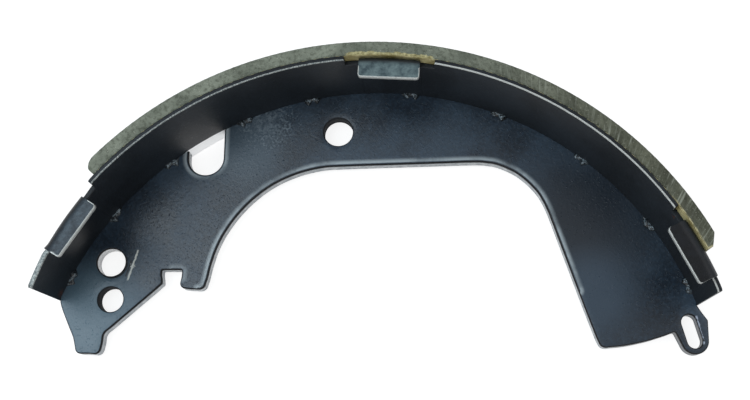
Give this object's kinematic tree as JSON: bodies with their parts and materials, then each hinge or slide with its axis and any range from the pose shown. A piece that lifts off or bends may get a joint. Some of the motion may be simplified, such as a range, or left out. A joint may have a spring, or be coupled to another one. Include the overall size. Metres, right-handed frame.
{
  "type": "brake shoe",
  "caption": "Curved drum brake shoe: a stamped web with a hub arch, slotted ear and window, a welded rolled table with folded slide tabs, and a bonded friction lining.",
  "frame": {"origin": "centre of the hold-down hole, half way through the web", "axes": "+X along the shoe towards the slotted ear, +Y outwards at the crown, +Z along the drum's axis towards the folded tabs"},
  "size_m": [0.2307, 0.1035, 0.038],
  "materials": {
    "coated_steel": "semi-gloss black-blue dip coat",
    "friction_lining": "ground friction compound, matt olive grey",
    "bonding_adhesive": "cured amber adhesive",
    "weld_metal": "weld flash under the dip coat"
  },
  "bodies": {
    "root": {"web": "coated_steel", "table": "coated_steel", "lining": "friction_lining", "bond_film": "bonding_adhesive", "weld_01": "weld_metal", "weld_02": "weld_metal", "weld_03": "weld_metal", "weld_04": "weld_metal", "weld_05": "weld_metal", "weld_06": "weld_metal", "weld_07": "weld_metal", "weld_08": "weld_metal", "weld_09": "weld_metal", "weld_10": "weld_metal"}
  },
  "joints": []
}
